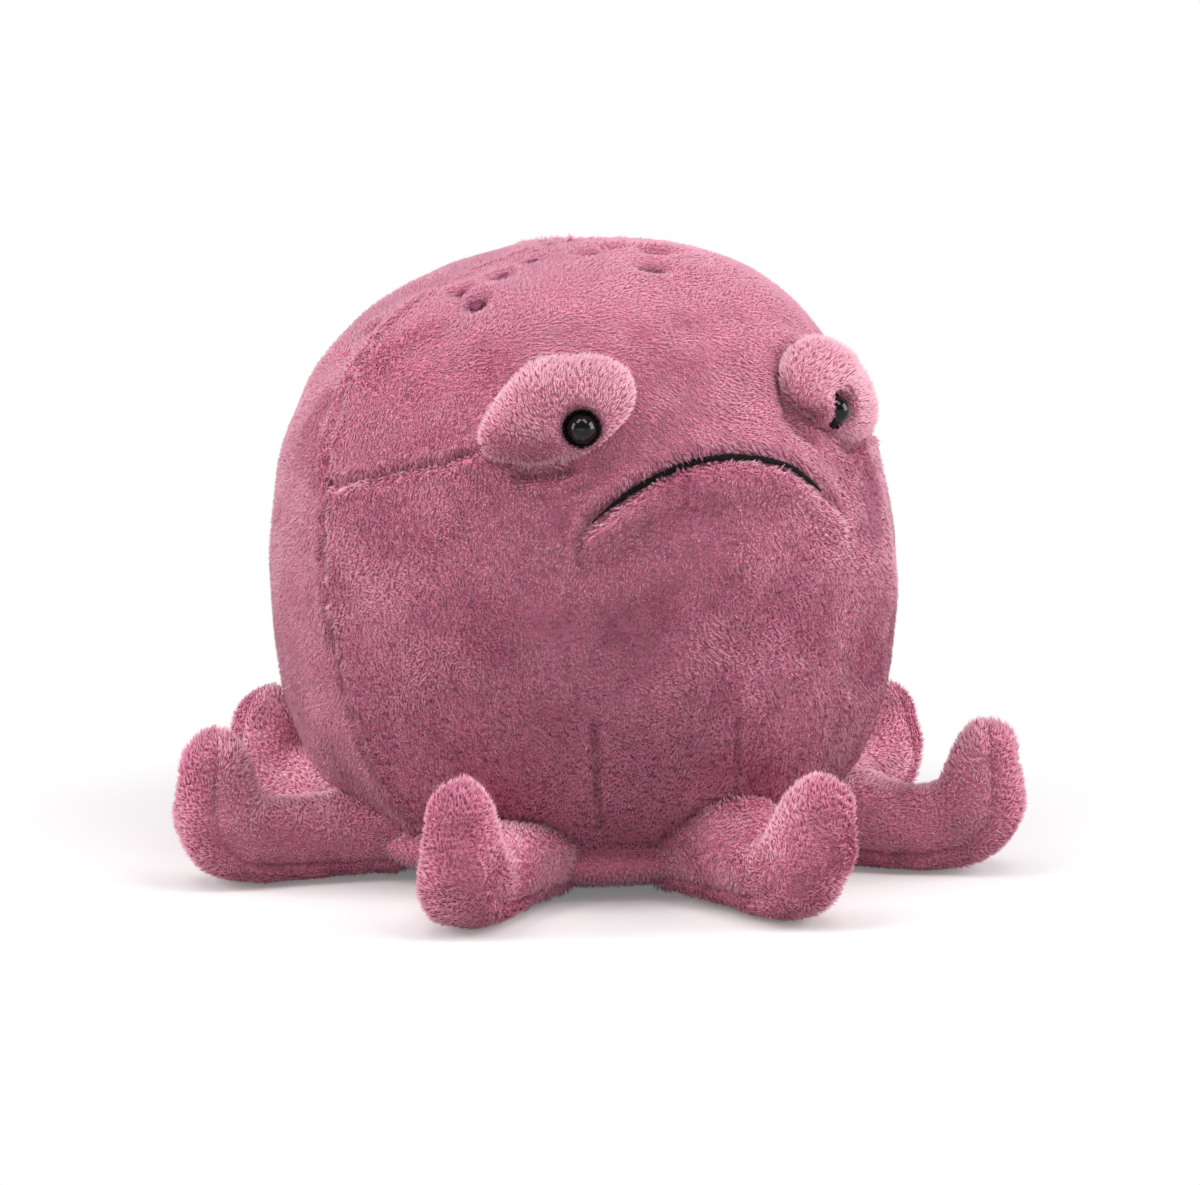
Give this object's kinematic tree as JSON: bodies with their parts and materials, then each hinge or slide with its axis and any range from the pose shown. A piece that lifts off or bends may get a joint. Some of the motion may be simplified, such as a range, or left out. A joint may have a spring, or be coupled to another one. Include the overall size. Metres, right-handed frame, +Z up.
{
  "type": "plush octopus",
  "caption": "Stuffed plush octopus with a round domed body, raised eye patches with bead eyes, a stitched frown and flexible arms whose tips curl up round its flat base.",
  "frame": {"origin": "on the ground, in the middle of the flat base, straight below the middle of the body", "axes": "+Z up; the face looks along -Y; +X is to the viewer's right when looking at the face"},
  "size_m": [0.2734, 0.2837, 0.198],
  "materials": {
    "crown_cloth": "matte",
    "face_cloth": "matte",
    "arm_cloth": "matte",
    "sole_cloth": "matte",
    "spot_thread": "matte",
    "black_thread": "satin",
    "black_plastic": "gloss",
    "washer_plastic": "matte",
    "fibre": "matte",
    "pouch_cloth": "matte"
  },
  "bodies": {
    "body": {"forehead_panel": "crown_cloth", "chin_panel": "face_cloth", "left_cheek_panel": "face_cloth", "right_cheek_panel": "face_cloth", "left_back_panel": "crown_cloth", "right_back_panel": "crown_cloth", "base_panel": "sole_cloth", "body_filling": "fibre", "pellet_pouch": "pouch_cloth", "mouth_stitching": "black_thread", "crown_spot_1": "spot_thread", "crown_spot_2": "spot_thread", "crown_spot_3": "spot_thread", "crown_spot_4": "spot_thread", "crown_spot_5": "spot_thread", "crown_spot_6": "spot_thread", "crown_spot_7": "spot_thread", "crown_spot_8": "spot_thread", "crown_spot_9": "spot_thread", "left_eye_mound": "arm_cloth", "left_eye_filling": "fibre", "left_eye_bead": "black_plastic", "left_eye_washer": "washer_plastic", "left_eye_ring": "black_thread", "right_eye_mound": "arm_cloth", "right_eye_filling": "fibre", "right_eye_bead": "black_plastic", "right_eye_washer": "washer_plastic", "right_eye_ring": "black_thread"},
    "front_arm": {"front_arm_skin": "arm_cloth", "front_arm_sole": "sole_cloth", "front_arm_filling": "fibre"},
    "front_right_arm": {"front_right_arm_skin": "arm_cloth", "front_right_arm_sole": "sole_cloth", "front_right_arm_filling": "fibre"},
    "right_arm": {"right_arm_skin": "arm_cloth", "right_arm_sole": "sole_cloth", "right_arm_filling": "fibre"},
    "rear_right_arm": {"rear_right_arm_skin": "arm_cloth", "rear_right_arm_sole": "sole_cloth", "rear_right_arm_filling": "fibre"},
    "rear_arm": {"rear_arm_skin": "arm_cloth", "rear_arm_sole": "sole_cloth", "rear_arm_filling": "fibre"},
    "rear_left_arm": {"rear_left_arm_skin": "arm_cloth", "rear_left_arm_sole": "sole_cloth", "rear_left_arm_filling": "fibre"},
    "left_arm": {"left_arm_skin": "arm_cloth", "left_arm_sole": "sole_cloth", "left_arm_filling": "fibre"},
    "front_left_arm": {"front_left_arm_skin": "arm_cloth", "front_left_arm_sole": "sole_cloth", "front_left_arm_filling": "fibre"}
  },
  "joints": [
    {"name": "front_arm_flex", "type": "hinge", "parent": "body", "child": "front_arm", "pos_m": [0.00398, -0.0759, 0.01248], "axis": [-0.9986, -0.0523, 0], "range_deg": [-25, 20]},
    {"name": "front_right_arm_flex", "type": "hinge", "parent": "body", "child": "front_right_arm", "pos_m": [0.05467, -0.05279, 0.01248], "axis": [-0.6947, -0.7193, 0], "range_deg": [-25, 20]},
    {"name": "right_arm_flex", "type": "hinge", "parent": "body", "child": "right_arm", "pos_m": [0.07581, 0.0053, 0.01248], "axis": [0.0698, -0.9976, 0], "range_deg": [-25, 20]},
    {"name": "rear_right_arm_flex", "type": "hinge", "parent": "body", "child": "rear_right_arm", "pos_m": [0.05374, 0.05374, 0.01248], "axis": [0.7071, -0.7071, 0], "range_deg": [-25, 20]},
    {"name": "rear_arm_flex", "type": "hinge", "parent": "body", "child": "rear_arm", "pos_m": [0.00464, 0.07586, 0.01248], "axis": [0.9981, -0.061, 0], "range_deg": [-25, 20]},
    {"name": "rear_left_arm_flex", "type": "hinge", "parent": "body", "child": "rear_left_arm", "pos_m": [-0.04679, 0.05989, 0.01248], "axis": [0.788, 0.6157, 0], "range_deg": [-25, 20]},
    {"name": "left_arm_flex", "type": "hinge", "parent": "body", "child": "left_arm", "pos_m": [-0.07595, 0.00265, 0.01248], "axis": [0.0349, 0.9994, 0], "range_deg": [-25, 20]},
    {"name": "front_left_arm_flex", "type": "hinge", "parent": "body", "child": "front_left_arm", "pos_m": [-0.05374, -0.05374, 0.01248], "axis": [-0.7071, 0.7071, 0], "range_deg": [-25, 20]}
  ]
}
